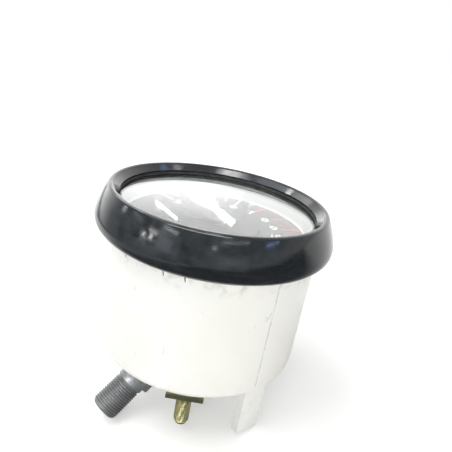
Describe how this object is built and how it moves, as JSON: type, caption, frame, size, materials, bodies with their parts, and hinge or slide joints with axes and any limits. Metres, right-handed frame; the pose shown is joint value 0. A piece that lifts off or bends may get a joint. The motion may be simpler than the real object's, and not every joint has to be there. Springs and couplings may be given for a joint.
{
  "type": "motorcycle tachometer",
  "caption": "Round cable-driven motorcycle tachometer with a thick black bezel, a white cylindrical case and a slanting threaded drive nipple.",
  "frame": {"origin": "centre of the two mounting studs, on the plane of their plates that the bracket seats on", "axes": "+Z along the instrument's axis towards the reader, +Y towards the dial's top, which stands 4 degrees before 12 o'clock, -Z along the studs"},
  "size_m": [0.0944, 0.0944, 0.0949],
  "materials": {
    "black_plastic": "glossy",
    "clear_glass": "polished",
    "black_rubber": "dull",
    "spring_steel": "ground",
    "white_reflector": "matt white",
    "black_enamel": "matt",
    "black_steel": "blackened",
    "plated_steel": "zinc plated",
    "pointer_paint": "matt",
    "aluminium": "spun",
    "brass": "turned",
    "ruby": "polished",
    "soft_iron": "turned",
    "magnet": "sintered",
    "die_cast": "oxidised die casting",
    "dark_steel": "phosphated",
    "white_plastic": "satin",
    "bulb_glass": "clear",
    "yellow_zinc": "yellow passivated"
  },
  "bodies": {
    "instrument": {"bezel_ring": "black_plastic", "front_glass": "clear_glass", "glass_gasket": "black_rubber", "glass_seat": "black_rubber", "bezel_retaining_ring": "spring_steel", "reflector_ring": "white_reflector", "dial_plate": "black_enamel", "dial_screws": "black_steel", "dial_posts": "plated_steel", "pointer_stops": "black_steel", "hairspring": "brass", "hairspring_stud": "brass", "top_plate": "plated_steel", "top_bush": "brass", "frame_pillars": "plated_steel", "pillar_screws": "plated_steel", "base_plate": "plated_steel", "spindle_bush": "brass", "field_ring": "soft_iron", "shaft_bushes": "brass", "drive_housing": "die_cast", "housing_seal": "black_rubber", "housing_screws": "plated_steel", "threaded_nipple": "dark_steel", "case": "white_plastic", "case_screws": "plated_steel", "lamp_holders": "black_rubber", "lamp_terminals": "brass", "lamp_caps": "brass", "lamp_bulbs": "bulb_glass", "stud_plates": "yellow_zinc", "mounting_studs": "yellow_zinc", "plate_screws": "yellow_zinc"},
    "pointer_unit": {"pointer": "pointer_paint", "pointer_cap": "black_plastic", "pointer_spindle": "plated_steel", "drag_cup": "aluminium", "hairspring_collet": "brass"},
    "magnet_unit": {"drive_spindle": "plated_steel", "magnet": "magnet", "magnet_carrier": "brass", "pivot_jewel": "ruby", "driven_gear": "brass"},
    "input_unit": {"input_shaft": "plated_steel", "drive_gear": "brass"}
  },
  "joints": [
    {"name": "pointer_swing", "type": "hinge", "parent": "instrument", "child": "pointer_unit", "pos_m": [0, 0, 0.05], "axis": [0, 0, -1], "range_deg": [0, 210], "stiffness_Nm_per_rad": 0.00002, "springref_deg": -20.05},
    {"name": "magnet_spin", "type": "hinge", "parent": "instrument", "child": "magnet_unit", "pos_m": [0, 0, 0.03], "axis": [0, 0, 1], "continuous": true},
    {"name": "input_spin", "type": "hinge", "parent": "instrument", "child": "input_unit", "pos_m": [0, 0, 0.012], "axis": [-0.5868, -0.4924, -0.6428], "continuous": true}
  ],
  "couplings": [
    {"joint": "input_spin", "follows": "magnet_spin", "ratio": -1}
  ]
}
